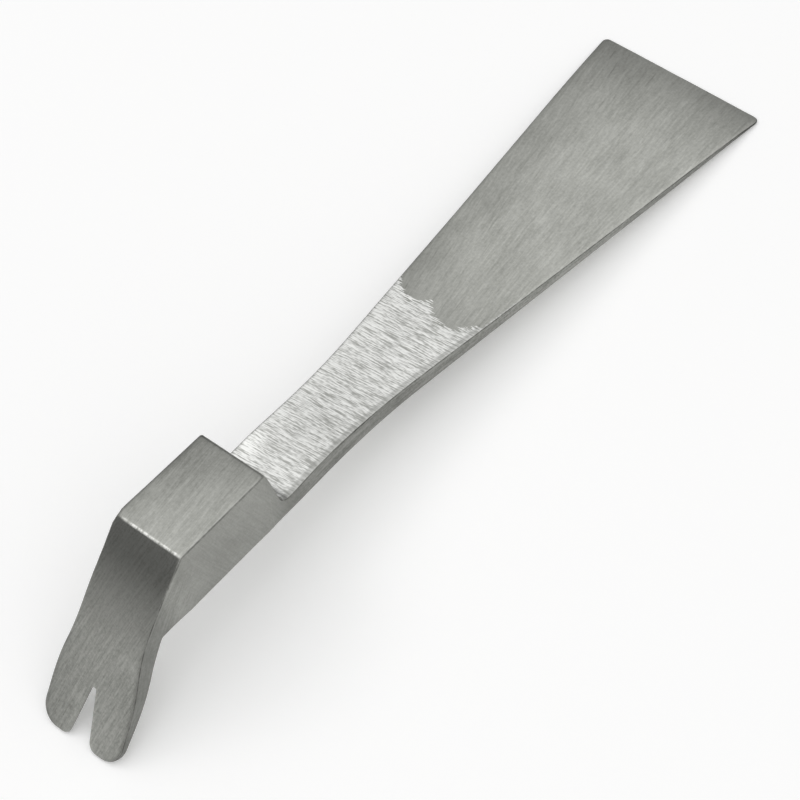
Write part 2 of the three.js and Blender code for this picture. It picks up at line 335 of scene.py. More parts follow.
class ForgingSizes(bpy.types.PropertyGroup):
    """Sizes of the forging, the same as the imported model's."""

    blade_reach: length("Blade reach", "Head's front top edge to the blade's end", 189.6)
    head_length: length("Head length", "Length of the head's flat top", 28)
    face_length: length("Face length", "Head's front top edge to the claw's tips", 55)
    head_width: length("Head width", "Width at the head's front edge", 20.8)
    head_rear_width: length("Head rear width", "Width at the head's rear edge", 20.1)
    claw_root_width: length("Claw root width", "Claw before its tines widen", 20.3)
    claw_width: length("Claw width", "Across both tines at their widest", 24.8)
    waist_width: length("Waist width", "Where the neck's and the flare's lines meet", 18.3)
    blade_width: length("Blade width", "Across the blade's end", 49)
    head_height: length("Head height", "Underside to the head's flat top", 18.9)
    neck_thickness: length("Neck thickness", "Thickness of the neck", 5.1)
    neck_dip: length("Neck dip", "How much thinner the neck is at the head's foot", 0.45)
    ground_end_thickness: length("Ground end thickness", "Where the bright grinding ends", 3.5)
    land_thickness: length("Land thickness", "Blade just before its sharpened end", 1.65)
    edge_thickness: length("Edge thickness", "Blade at its end", 0.6)
    blade_crown: length("Blade crown", "How much thinner the end's corners are", 0.25)
    bend_thickness: length("Bend thickness", "Claw where it leaves the underside", 5.5)
    claw_thickness: length("Claw thickness", "Claw where its wedge starts", 5.1)
    tip_thickness: length("Tip thickness", "Claw at its tips", 0.9)
    upper_angle: angle("Upper face angle", "Claw's face below level, at the head", 45.7)
    lower_angle: angle("Lower face angle", "Claw's face below level, past its bend", 54.5)
    wall_lean: angle("Wall lean", "Head's rear wall from upright", 11.4)
    notch_angle: angle("Notch angle", "Each notch wall from the middle line", 10)
    notch_depth: share("Notch depth", "Depth of the notch along the face", 0.273)
    notch_root: length("Notch root", "Radius at the bottom of the notch", 0.62)
    notch_undercut: share("Notch undercut", "How fast the notch opens below the face", 0.7)
    rear_fillet: length("Rear fillet", "Radius at the foot of the head", 3.2)
    rear_edge: length("Rear edge", "Rounding of the head's rear top edge", 0.8)
    front_edge: length("Front edge", "Rounding of the head's front top edge", 0.5)
    tine_outer: length("Tine outer radius", "Outer rounding of each tine", 5.2)
    tine_inner: length("Tine inner radius", "Rounding of the notch's mouth", 2.6)
    blade_corner: length("Blade corner", "Rounding of the blade's corners", 2)
    worn_edge: length("Worn edge", "Rounding that use has put on the long edges", 0.28)
    head_edge: length("Head edge", "Rounding of the head's long edges", 0.5)
    notch_edge: length("Notch edge", "Rounding of the notch's edges", 0.16)
    waviness: length("Waviness", "Unevenness left by hand grinding", 0.05)


class SteelFinish(bpy.types.PropertyGroup):
    """Colours of the steel's finishes, with the colour of its painted front-edge glint."""

    satin: colour("Satin", "Lengthwise satin finish", (0.63, 0.636, 0.597))
    satin_shade: colour("Satin shade", "Deeper grooves of the satin", (0.375, 0.38, 0.35))
    ground: colour("Ground", "Bright cross-ground neck", (0.97, 0.975, 0.95))
    ground_shade: colour("Ground shade", "Between the grinding strokes", (0.46, 0.465, 0.44))
    # Polished by use, and painted bright as the front edge's glint
    worn: colour("Worn edge", "Front edge polished by use", (0.85, 0.85, 0.82))
    # The dark, uneven line along the long edges, strongest on the claw
    burr: colour("Burred edge", "Dull line along the long edges", (0.08, 0.082, 0.074))


class StudioSettings(bpy.types.PropertyGroup):
    """The floor, the light and the camera."""

    floor: colour("Floor", "Colour of the floor", (0.93, 0.93, 0.928))
    lens: bpy.props.FloatProperty(
        name="Lens",
        description="Focal length on a 36 mm sensor, in millimetres",
        default=151.3,
        min=20.0,
    )
    distance: length("Distance", "Camera to the point it looks at", 778.8)
    heading: angle("Heading", "Camera's turn round the tool", -33.27)
    height: angle("Height", "Camera's angle above level", 55.4)
    roll: angle("Roll", "Camera's turn about its own line of sight", -19.44)


# ---------------------------------------------------------------- side view


def straight(start, end, steps=1):
    """Points of a straight line."""
    along = np.linspace(0, 1, steps + 1)[:, None]
    return np.array(start) * (1 - along) + np.array(end) * along


def bend(start, control, end, steps=10):
    """Points of a curve that leaves and arrives along the lines to its control point."""
    t = np.linspace(0, 1, steps + 1)[:, None]
    first = np.array(start) * (1 - t) ** 2
    return first + np.array(control) * 2 * t * (1 - t) + np.array(end) * t**2


def swing(start, lead, trail, end, steps=16):
    """Points of a curve with a control point for each end, so that it can turn both ways."""
    t = np.linspace(0, 1, steps + 1)[:, None]
    near = np.array(start) * (1 - t) ** 3 + np.array(lead) * 3 * t * (1 - t) ** 2
    return near + np.array(trail) * 3 * t**2 * (1 - t) + np.array(end) * t**3


def arc(centre, radius, start, end, steps=12):
    """Points of a round turn between two angles."""
    turn = np.linspace(start, end, steps + 1)
    return np.array(centre) + radius * np.stack([np.cos(turn), np.sin(turn)], 1)


class Line:
    """A polyline that is walked by its own length, with named stops along it."""

    def __init__(self, start):
        self.points = np.array([start], float)
        self.stops = {}

    def add(self, points, stop=None):
        self.points = np.vstack([self.points, points[1:]])
        if stop:
            self.stops[stop] = self.length()
        return self

    def length(self):
        return float(self.lengths()[-1])

    def lengths(self):
        steps = np.linalg.norm(np.diff(self.points, axis=0), axis=1)
        return np.concatenate([[0.0], np.cumsum(steps)])

    def at(self, where):
        walked = self.lengths()
        return np.stack([np.interp(where, walked, self.points[:, k]) for k in range(2)], -1)

    def heading(self, where):
        """Unit direction of the line at a length."""
        ahead = self.at(min(where + NUDGE, self.length()))
        step = ahead - self.at(max(where - NUDGE, 0.0))
        return step / np.linalg.norm(step)


class SideView:
    """The forging seen from the side, in millimetres: x along the tool, z up."""

    def __init__(self, s):
        self.s = s
        self.lower = np.array([-math.cos(s.lower_angle), -math.sin(s.lower_angle)])
        self.upper = np.array([-math.cos(s.upper_angle), -math.sin(s.upper_angle)])
        self.inward = np.array([math.sin(s.lower_angle), -math.cos(s.lower_angle)])
        self.crown = np.array([0.0, s.head_height])
        self.bend_at = s.face_length * BEND_SHARE
        self.corner = self.crown + self.upper * self.bend_at
        self.origin = self.corner - self.lower * self.bend_at
        self.top = self.top_line()
        self.under = self.under_line()

    def face_point(self, along, depth=0.0):
        """A point of the claw, from its reach along the lower face and its depth."""
        return self.origin + self.lower * along + self.inward * depth

    def top_line(self):
        s = self.s
        run = self.bend_at / 3
        line = Line(self.face_point(s.face_length))
        below = self.corner + self.lower * run
        above = self.corner - self.upper * run
        line.add(straight(line.points[-1], below), "bend_start")
        line.add(bend(below, self.corner, above, ROUND_STEPS), "bend_end")
        edge = self.crown + self.upper * s.front_edge
        line.add(straight(above, edge), "front_start")
        top = (s.front_edge, s.head_height)
        line.add(bend(edge, self.crown, top, EDGE_STEPS), "front_end")
        rear = (s.head_length - s.rear_edge, s.head_height)
        line.add(straight(line.points[-1], rear), "rear_start")
        lean = math.tan(s.wall_lean)
        down = (s.head_length + s.rear_edge * lean, s.head_height - s.rear_edge)
        line.add(bend(rear, (s.head_length, s.head_height), down, EDGE_STEPS), "rear_end")
        foot = s.neck_thickness - s.neck_dip
        corner_x = s.head_length + (s.head_height - foot) * lean
        centre = (
            corner_x + s.rear_fillet * math.tan((math.pi / 2 - s.wall_lean) / 2),
            foot + s.rear_fillet,
        )
        turn = arc(centre, s.rear_fillet, math.pi + s.wall_lean, math.pi * 1.5, ROUND_STEPS)
        line.add(straight(down, turn[0]), "wall_end")
        line.add(turn, "foot")
        return self.blade_line(line, centre[0], foot)

    def blade_line(self, line, foot_x, foot):
        s = self.s
        full = s.neck_thickness
        swell = foot_x + s.rear_fillet * 3
        taper = swell + TAPER_BLEND
        ground = s.blade_reach * GROUND_SHARE
        land = s.blade_reach * (1 - SHARPENED_SHARE)
        slope = (full - s.ground_end_thickness) / (ground - taper)
        lead = (foot_x + s.rear_fillet, foot)
        trail = (swell - s.rear_fillet, full)
        line.add(swing((foot_x, foot), lead, trail, (swell, full)), "swell")
        before = (taper - TAPER_BLEND / 2, full)
        after = (taper + TAPER_BLEND, full - slope * TAPER_BLEND)
        line.add(straight((swell, full), before))
        line.add(bend(before, (taper, full), after), "taper")
        half = (land - ground) / 2
        ground_end = (ground, s.ground_end_thickness)
        ease = (ground + half, s.ground_end_thickness - slope * half)
        line.add(straight(after, ground_end), "ground_end")
        end = np.array((s.blade_reach, s.edge_thickness))
        corner = np.array((land, s.land_thickness))
        long = bend(ground_end, ease, corner, LONG_STEPS)
        long = long[long[:, 0] < land - LAND_EASE]
        after = corner + (end - corner) * LAND_EASE_SHARE
        line.add(long)
        line.add(bend(long[-1], corner, after, ROUND_STEPS), "land")
        return line.add(straight(after, end), "end")

    def under_line(self):
        s = self.s
        level = s.head_height * math.cos(s.upper_angle) - s.bend_thickness
        heel = np.array([-level / math.sin(s.upper_angle), 0.0])
        tip = self.face_point(s.face_length, s.tip_thickness)
        wedge = self.face_point(s.face_length * WEDGE_SHARE, s.claw_thickness)
        after = wedge + (tip - wedge) * WEDGE_EASE_SHARE
        before = heel + (wedge - heel) * HEEL_EASE_SHARE
        flat = heel + np.array([HEEL_EDGE, 0.0])
        line = Line(tip)
        line.add(straight(tip, after))
        line.add(bend(after, wedge, before, ROUND_STEPS), "heel_start")
        line.add(bend(before, heel, flat, EDGE_STEPS), "heel_end")
        return line.add(straight(flat, (s.blade_reach, 0.0)), "end")

    def reach(self, points):
        """How far points are along the claw's lower face."""
        return (points - self.origin) @ self.lower

    def depth(self, along):
        """How thick the claw is, square to its lower face."""
        depth = (self.under.points - self.origin) @ self.inward
        return np.interp(-along, -self.reach(self.under.points), depth)

    def where(self, line, along):
        """Length at which the claw's face or underside passes a reach."""
        reaches = self.reach(line.points)
        last = int(np.argmin(np.append(np.diff(reaches) < 0, False)))
        return np.interp(-along, -reaches[: last + 1], line.lengths()[: last + 1])


# ---------------------------------------------------------------- plan view


class PlanView:
    """Half widths of the forging, in millimetres."""

    def __init__(self, s, side):
        self.s = s
        self.side = side
        waist = s.blade_reach * WAIST_SHARE
        blend = s.blade_reach * WAIST_BLEND_SHARE
        self.flare = (s.blade_width - s.waist_width) / 2 / (s.blade_reach - waist)
        taper = (s.head_rear_width - s.waist_width) / 2 / (waist - s.head_length)
        half = s.waist_width / 2
        line = Line((-s.face_length, s.claw_root_width / 2))
        line.add(straight(line.points[-1], (-HEAD_NARROWS_OVER, s.claw_root_width / 2)))
        line.add(straight(line.points[-1], (0, s.head_width / 2)))
        line.add(straight(line.points[-1], (s.head_length, s.head_rear_width / 2)))
        before = (waist - blend, half + taper * blend)
        after = (waist + blend, half + self.flare * blend)
        line.add(straight(line.points[-1], before))
        line.add(bend(before, (waist, half), after, PLAN_STEPS))
        self.body = line.add(straight(after, (s.blade_reach, s.blade_width / 2)))
        self.claw = self.claw_line()

    def claw_line(self):
        s = self.s
        root = s.claw_root_width / 2
        half = s.claw_width / 2
        start = s.face_length * FLARE_SHARE
        widest = s.face_length * WIDEST_SHARE
        ease = (widest - start) / 2
        line = Line((0, root))
        line.add(straight((0, root), (start, root)))
        line.add(swing((start, root), (start + ease, root), (widest - ease, half), (widest, half)))
        turn = (s.face_length - s.tine_outer, half - s.tine_outer)
        line.add(straight((widest, half), (turn[0], half)), "outer_start")
        return line.add(arc(turn, s.tine_outer, math.pi / 2, 0, PLAN_STEPS), "outer_end")

    def half_width(self, point):
        """Half width at a point of the side view."""
        body = np.interp(point[0], self.body.points[:, 0], self.body.points[:, 1])
        along = (point - self.side.origin) @ self.side.lower
        line = self.claw.points
        claw = np.interp(along, line[:, 0], line[:, 1]) if along > 0 else 0.0
        return float(max(body, claw))

    def notch_line(self):
        """The notch's outline on the claw's face, from its root to the tip of a tine."""
        s = self.s
        root = s.face_length * (1 - s.notch_depth) + s.notch_root
        lean = s.notch_angle
        line = Line((root - s.notch_root, 0))
        line.add(arc((root, 0), s.notch_root, math.pi, math.pi / 2 + lean), "root")
        wall = line.points[-1]
        mouth_x = s.face_length - s.tine_inner
        mouth_y = wall[1] + (mouth_x - wall[0]) * math.tan(lean)
        centre = (mouth_x, mouth_y + s.tine_inner / math.cos(lean))
        turn = arc(centre, s.tine_inner, lean - math.pi / 2, 0, MOUTH_STEPS)
        line.add(straight(wall, turn[0]), "wall")
        return line.add(turn, "tip")

    def crown(self, x, y):
        """How far the blade's underside is relieved towards the end's corners."""
        s = self.s
        across = s.blade_crown * (y / (s.blade_width / 2)) ** 2
        fade = s.blade_crown * (s.blade_reach - x) / (s.blade_reach * CROWNED_SHARE)
        return np.maximum(across - fade, 0.0)


# ---------------------------------------------------------------- mesh


def unit(vector):
    """The same direction, one long."""
    return vector / np.linalg.norm(vector)


def spatial(point, y):
    """A point of the side view, moved across to y."""
    return np.array([point[0], y, point[1]])


class Skin:
    """Collects half of the forging's mesh, with the marks that its finish needs."""

    def __init__(self):
        self.points = []
        self.marks = []
        self.faces = []

    def add(self, point, along, depth=0.0, worn=0.0, rim=0.0, side=0.0):
        self.points.append(point)
        self.marks.append((along, depth, worn, rim, side))
        return len(self.points) - 1

    def strip(self, first, second):
        for k in range(len(first) - 1):
            self.faces.append((first[k], second[k], second[k + 1], first[k + 1]))

    def row(self, start, end, along, depth=0.0, worn=0.0, lift=None):
        """Points from the middle of a face to its edge."""
        made = []
        across = np.linalg.norm(end - start)
        for part in ROW:
            point = start + (end - start) * part
            if lift:
                point = point + np.array([0.0, 0.0, lift(point)])
            far = along if np.isscalar(along) else along(point)
            made.append(self.add(point, far, depth, worn, across * (1 - part)))
        return made

    def column(self, face, under, out, radius, along):
        """Points round one edge, down the side and round the edge below it."""
        down = unit(under - face)
        tall = float(np.linalg.norm(under - face))
        angles = np.linspace(0, math.pi / 2, TURN_STEPS + 1)[1:]
        turn = [(1 - math.sin(a), 1 - math.cos(a), math.sin(2 * a)) for a in angles]
        made = []
        for back, drop, worn in turn:
            point = face - out * radius * back + down * radius * drop
            made.append(self.add(point, along, radius * drop, worn, 0.0, 1.0))
        for k in range(1, SIDE_STEPS):
            deep = radius + (tall - 2 * radius) * k / SIDE_STEPS
            made.append(self.add(face + down * deep, along, deep, 0.0, 0.0, 1.0))
        for back, drop, worn in reversed(turn):
            point = under - out * radius * back - down * radius * drop
            made.append(self.add(point, along, tall - radius * drop, worn, 0.0, 1.0))
        return made


class Ring:
    """Half a section: over the top, down the side, back below and up the notch, if there is one."""

    def __init__(self, top, column, under, inner=None):
        self.top = top
        self.column = column
        self.under = under
        self.inner = inner

    def half(self):
        return self.top + self.column + self.under[::-1]

    def notch_side(self):
        return [self.under[0]] + self.inner[::-1] + [self.top[0]]

    def outer_side(self):
        return [self.top[-1]] + self.column + [self.under[-1]]


class Forging:
    """Skins the forging ring by ring, from the claw's tips to the blade's end."""

    def __init__(self, s):
        self.s = s
        self.side = SideView(s)
        self.plan = PlanView(s, self.side)
        self.skin = Skin()

    def radius(self, face, under, wanted):
        return min(wanted, THIN_SHARE * float(np.linalg.norm(under - face)))

    def section(self, face, under, out, along, worn=0.0, worn_under=0.0, shift=0.0):
        """A ring across the whole forging, from its side view's two points."""
        s = self.s
        width = self.plan.half_width(face)
        below = self.plan.half_width(under)
        edge = spatial(face, width)
        under_edge = spatial(under, below)
        flat = under_edge.copy()
        under_edge[2] += self.plan.crown(under[0], below)
        before = (face[0] + HEAD_EDGE_BEFORE) / HEAD_EDGE_BEFORE
        after = (s.head_length + HEAD_EDGE_AFTER - face[0]) / HEAD_EDGE_FADE
        on_head = float(np.clip(min(before, after), 0, 1))
        wanted = s.worn_edge + (s.head_edge - s.worn_edge) * on_head
        radius = self.radius(edge, under_edge, wanted)
        column = self.skin.column(edge, under_edge, out, radius, along)
        top = self.skin.row(spatial(face, 0.0), edge - out * radius, along, 0.0, worn)
        deep = float(np.linalg.norm(under - face))
        middle = spatial(under - self.side.lower * shift, 0.0)
        bottom = self.skin.row(middle, flat - out * radius, along, deep, worn_under, self.lift)
        return Ring(top, column, bottom)

    def lift(self, point):
        return float(self.plan.crown(point[0], point[1]))

    def tine_ring(self, inner_at, outer_at):
        """A ring round one tine, between the notch's outline and the claw's."""
        s = self.s
        inner = self.notch.at(inner_at)
        outer = self.plan.claw.at(outer_at)
        way = self.notch.heading(inner_at)
        out_inner = np.array([way[1], -way[0]]) if inner_at > 0 else np.array([1.0, 0.0])
        way = self.plan.claw.heading(outer_at)
        out_outer = np.array([-way[1], way[0]])
        limit = s.tine_inner * UNDERCUT_LIMIT
        opening = min(self.side.depth(inner[0]) * s.notch_undercut, limit)
        under_inner = inner - out_inner * opening
        faces = [self.claw_point(inner), self.claw_point(outer)]
        unders = [self.claw_point(p, self.side.depth(p[0])) for p in (under_inner, outer)]
        outs = [self.claw_direction(out_inner), self.claw_direction(out_outer)]
        radii = [
            self.radius(faces[0], unders[0], s.notch_edge),
            self.radius(faces[1], unders[1], s.worn_edge),
        ]
        skin = self.skin
        far = self.claw_along
        column = skin.column(faces[1], unders[1], outs[1], radii[1], s.face_length - outer[0])
        top = skin.row(faces[0] - outs[0] * radii[0], faces[1] - outs[1] * radii[1], far)
        deep = float(self.side.depth(outer[0]))
        bottom = skin.row(
            unders[0] - outs[0] * radii[0], unders[1] - outs[1] * radii[1], far, deep
        )
        along = s.face_length - inner[0]
        column_inner = skin.column(faces[0], unders[0], outs[0], radii[0], along)
        return Ring(top, column, bottom, column_inner)

    def claw_point(self, place, depth=0.0):
        return spatial(self.side.face_point(place[0], depth), place[1])

    def claw_direction(self, way):
        lower = self.side.lower
        return np.array([lower[0] * way[0], way[1], lower[1] * way[0]])

    def claw_along(self, point):
        return self.s.face_length - self.side.reach(np.array([point[0], point[2]]))

    def close(self, ring, forward, reach, along):
        """Closes the end of a ring with a rounded nose, up to a given reach."""
        columns = []
        for k in range(len(ring.top)):
            if k == len(ring.top) - 1:
                columns.append(ring.outer_side())
                continue
            if k == 0 and ring.inner:
                columns.append(ring.notch_side()[::-1])
                continue
            top = self.skin.points[ring.top[k]]
            under = self.skin.points[ring.under[k]]
            ahead = reach - float(top @ forward)
            nose = forward * ahead
            made = self.skin.column(top + nose, under + nose, forward, ahead, along)
            columns.append([ring.top[k]] + made + [ring.under[k]])
        for first, second in zip(columns, columns[1:]):
            self.skin.strip(first, second)

    def tines(self):
        self.notch = self.plan.notch_line()
        claw = self.plan.claw
        start = self.notch.points[0][0]
        at = float(np.interp(start, claw.points[:, 0], claw.lengths()))
        notch = self.notch.stops
        after = at + ROOT_RUN
        middle = claw.stops["outer_start"] + OUTER_SPLIT * self.s.tine_outer
        # From and to along the notch, from and to along the outside, and the rings between
        spans = [
            (0.0, notch["root"], at, after, 6),
            (notch["root"], notch["wall"], after, middle, 14),
            (notch["wall"], notch["tip"], middle, claw.stops["outer_end"], 12),
        ]
        rings = [self.tine_ring(0.0, at)]
        for inner_from, inner_to, outer_from, outer_to, steps in spans:
            for part in np.linspace(0, 1, steps + 1)[1:]:
                inner = inner_from + (inner_to - inner_from) * part
                outer = outer_from + (outer_to - outer_from) * part
                rings.append(self.tine_ring(inner, outer))
        for first, second in zip(rings, rings[1:]):
            self.skin.strip(first.half(), second.half())
            self.skin.strip(first.notch_side(), second.notch_side())
        forward = self.claw_direction((1.0, 0.0))
        tip = self.claw_point((self.s.face_length, 0.0)) @ forward
        self.close(rings[-1], forward, float(tip), 0.0)
        return rings[0], start

    def stations(self, start):
        """Pairs of lengths on the top and on the underside, from the notch to the corner."""
        side = self.side
        top = side.top.stops
        under = side.under.stops
        flat = under["heel_end"] - side.under.at(under["heel_end"])[0]
        heel = side.reach(side.under.at(under["heel_start"]))
        claw = np.linspace(start, heel, CLAW_RINGS + 1)[1:]
        pairs = [(side.where(side.top, a), side.where(side.under, a)) for a in claw]
        ties = [flat + part * self.s.head_length for part in HEAD_TIES]
        # Where the next stretch ends on the top and on the underside, and its rings
        knots = [
            (pairs[-1][0] + HEEL_RUN, under["heel_end"], 6),
            (top["front_start"], ties[0], 12),
            (top["front_end"], ties[1], 6),
            (top["rear_start"], ties[2], 20),
            (top["rear_end"], ties[3], 6),
            (top["wall_end"], flat + side.top.at(top["wall_end"])[0], 8),
            (top["foot"], flat + side.top.at(top["foot"])[0], 12),
        ]
        for to_top, to_under, steps in knots:
            first_top, first_under = pairs[-1]
            for part in np.linspace(0, 1, steps + 1)[1:]:
                here = first_top + (to_top - first_top) * part
                below = first_under + (to_under - first_under) * part
                pairs.append((here, below))
        last = top["end"] - self.s.blade_corner
        blade = [(top["swell"], 12), (top["ground_end"], 60), (top["land"], 60), (last, 12)]
        for to_top, steps in blade:
            first = pairs[-1][0]
            for here in np.linspace(first, to_top, steps + 1)[1:]:
                pairs.append((here, flat + side.top.at(here)[0]))
        return pairs

    def worn_at(self, here, below):
        """How polished the top and the underside are where they bend sharply, which also places the
        painted glint there.
        """
        top = self.side.top.stops
        under = self.side.under.stops
        on_top = swell_between(here, top["front_start"], top["front_end"])
        return on_top, swell_between(below, under["heel_start"], under["heel_end"])

    def build(self):
        first, start = self.tines()
        out = np.array([0.0, 1.0, 0.0])
        side = self.side
        heel = side.under.stops["heel_start"]
        begin = side.where(side.under, start)
        limit = self.s.tine_inner * UNDERCUT_LIMIT
        opening = min(side.depth(start) * self.s.notch_undercut, limit)
        before = first
        for here, below in self.stations(start):
            fade = max(0.0, (heel - below) / (heel - begin))
            worn, worn_under = self.worn_at(here, below)
            face = side.top.at(here)
            under = side.under.at(below)
            shift = opening * fade
            ring = self.section(face, under, out, here, worn, worn_under, shift)
            self.skin.strip(before.half(), ring.half())
            before = ring
        return self.corner(before)

    def corner(self, before):
        """Rounds the blade's corner and closes its end."""
        s = self.s
        end = np.array([s.blade_reach, s.blade_width / 2])
        back = self.plan.flare * s.blade_corner
        turn = bend(end - (s.blade_corner, back), end, end - (0, s.blade_corner), EDGE_STEPS)
        land = s.blade_reach * (1 - SHARPENED_SHARE)
        slope = (s.land_thickness - s.edge_thickness) / (s.blade_reach - land)
        along = self.side.top.stops["end"]
        for k in range(1, len(turn)):
            way = unit(turn[min(k + 1, len(turn) - 1)] - turn[k - 1])
            if k == len(turn) - 1:
                way = np.array([0.0, -1.0])
            out = np.array([-way[1], way[0], 0.0])
            x, y = turn[k]
            edge = np.array([x, y, s.edge_thickness + slope * (s.blade_reach - x)])
            under = np.array([x, y, float(self.plan.crown(x, y))])
            radius = self.radius(edge, under, s.worn_edge)
            here = along - (s.blade_reach - x)
            column = self.skin.column(edge, under, out, radius, here)
            inset = edge - out * radius
            top = self.skin.row(inset * (1, 0, 1), inset, here)
            flat = (under - out * radius) * (1, 1, 0)
            bottom = self.skin.row(flat * (1, 0, 0), flat, here, edge[2], 0.0, self.lift)
            ring = Ring(top, column, bottom)
            self.skin.strip(before.half(), ring.half())
            before = ring
        self.close(before, np.array([1.0, 0.0, 0.0]), s.blade_reach, along)
        return self.skin


def swell_between(value, first, last):
    """Rises from nothing to one and back between two values."""
    part = (value - first) / (last - first)
    return math.sin(math.pi * part) if 0.0 < part < 1.0 else 0.0


def mirrored(skin):
    """Both halves as arrays, joined along the middle."""
    points = np.array(skin.points)
    middle = np.abs(points[:, 1]) < ON_MIDDLE
    points[middle, 1] = 0.0
    other = np.where(middle, np.arange(len(points)), 0)
    other[~middle] = len(points) + np.arange((~middle).sum())
    flipped = points[~middle] * (1, -1, 1)
    faces = [tuple(f) for f in skin.faces]
    faces += [tuple(int(other[k]) for k in reversed(f)) for f in skin.faces]
    marks = np.array(skin.marks)
    return np.vstack([points, flipped]), faces, np.vstack([marks, marks[~middle]])


def millimetres(settings):
    """A plain copy of the sizes in millimetres, so that the shapes read like a drawing."""
    sizes = named()
    for name, prop in settings.bl_rna.properties.items():
        if prop.type != "FLOAT":
            continue
        value = getattr(settings, name)
        setattr(sizes, name, value / MM if prop.unit == "LENGTH" else value)
    return sizes


def mount(name):
    """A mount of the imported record."""
    for entry in frame["record"]["mounts"]:
        if entry["name"] == name:
            return entry
    raise RuntimeError(f"the packed record has no mount named {name}")


def resting_place(s):
    """From the forging's own millimetres to where it rests, in metres."""
    face = mount("striking_face")
    axis = face["axis"]
    turn = Matrix.Rotation(math.atan2(axis[0], axis[2]), 4, "Y") @ Matrix.Scale(MM, 4)
    middle = turn @ Vector((s.head_length / 2, 0.0, s.head_height))
    return Matrix.Translation(Vector(face["pos_m"]) - middle) @ turn


def knocks(s):
    """Small worn places: where, how far they reach and how deep, in millimetres."""
    head = s.head_height
    return [
        ((0.0, s.head_width / 2, head), 2.4, 0.38),
        ((s.head_length, -s.head_rear_width / 2, head), 1.6, 0.3),
        ((0.0, -s.head_width / 2, head), 1.5, 0.15),
        ((NECK_KNOCK, -s.waist_width / 2, s.neck_thickness), 1.0, 0.2),
    ]


def hand_ground(points, normals, s):
    """Moves the skin in and out a little, as grinding by hand and use leave it."""
    moved = points.copy()
    amount = s.waviness
    for middle, reach, deep in knocks(s):
        far = np.linalg.norm(points - np.array(middle), axis=1) / reach
        dent = np.where(far < 1, (1 - far**2) ** 2, 0.0) * deep
        moved -= normals * dent[:, None]
    for k, point in enumerate(points):
        broad = noise.noise(Vector(point * BROAD_WAVES))
        close = noise.noise(Vector(point * CLOSE_WAVES + CLOSE_SHIFT))
        moved[k] += normals[k] * amount * (broad + CLOSE_SHARE * close)
    return moved


def make_mesh(name, points, faces, marks, place, s):
    """The skin as a mesh, lying where it rests, with its marks as attributes."""
    mesh = bpy.data.meshes.new(name)
    mesh.from_pydata(points.tolist(), [], faces)
    bm = bmesh.new()
    bm.from_mesh(mesh)
    bmesh.ops.recalc_face_normals(bm, faces=bm.faces)
    bm.to_mesh(mesh)
    bm.free()
    normals = np.zeros(len(points) * 3)
    mesh.vertices.foreach_get("normal", normals)
    drawn = hand_ground(points, normals.reshape(-1, 3), s)
    mesh.vertices.foreach_set("co", drawn.ravel())
    grain = np.stack([marks[:, 0], points[:, 1], marks[:, 1]], 1)
    for label, values in (("grain", grain), ("place", points)):
        layer = mesh.attributes.new(label, "FLOAT_VECTOR", "POINT")
        layer.data.foreach_set("vector", values.ravel())
    for column, label in enumerate(("worn", "rim", "side"), 2):
        values = marks[:, column]
        layer = mesh.attributes.new(label, "FLOAT", "POINT")
        layer.data.foreach_set("value", values)
    mesh.transform(place)
    mesh.shade_smooth()
    mesh.update()
    return mesh


# ---------------------------------------------------------------- finish


class Level:
    """A number that varies over the steel. Arithmetic on it adds Math nodes."""

    def __init__(self, finish, socket):
        self.finish = finish
        self.socket = socket

    def math(self, operation, first, second=0.0, clamp=False):
        settings = {"operation": operation, "use_clamp": clamp}
        return self.finish.level("ShaderNodeMath", settings, {0: first, 1: second})

    def __add__(self, other):
        return self.math("ADD", self, other)

    def __radd__(self, other):
        return self.math("ADD", other, self)

    def __sub__(self, other):
        return self.math("SUBTRACT", self, other)

    def __rsub__(self, other):
        return self.math("SUBTRACT", other, self)

    def __mul__(self, other):
        return self.math("MULTIPLY", self, other)

    def __rmul__(self, other):
        return self.math("MULTIPLY", other, self)

    def __truediv__(self, other):
        return self.math("DIVIDE", self, other)

    def __rtruediv__(self, other):
        return self.math("DIVIDE", other, self)

    def lowest(self, other):
        return self.math("MINIMUM", self, other)

    def highest(self, other):
        return self.math("MAXIMUM", self, other)

    def kept(self):
        """Held between nothing and one."""
        return self.math("ADD", self, 0.0, clamp=True)

    def rise(self, low, high):
        """From nothing at low to one at high, softly."""
        settings = {"interpolation_type": "SMOOTHSTEP", "clamp": True}
        sockets = {"Value": self, "From Min": low, "From Max": high}
        return self.finish.level("ShaderNodeMapRange", settings, sockets)


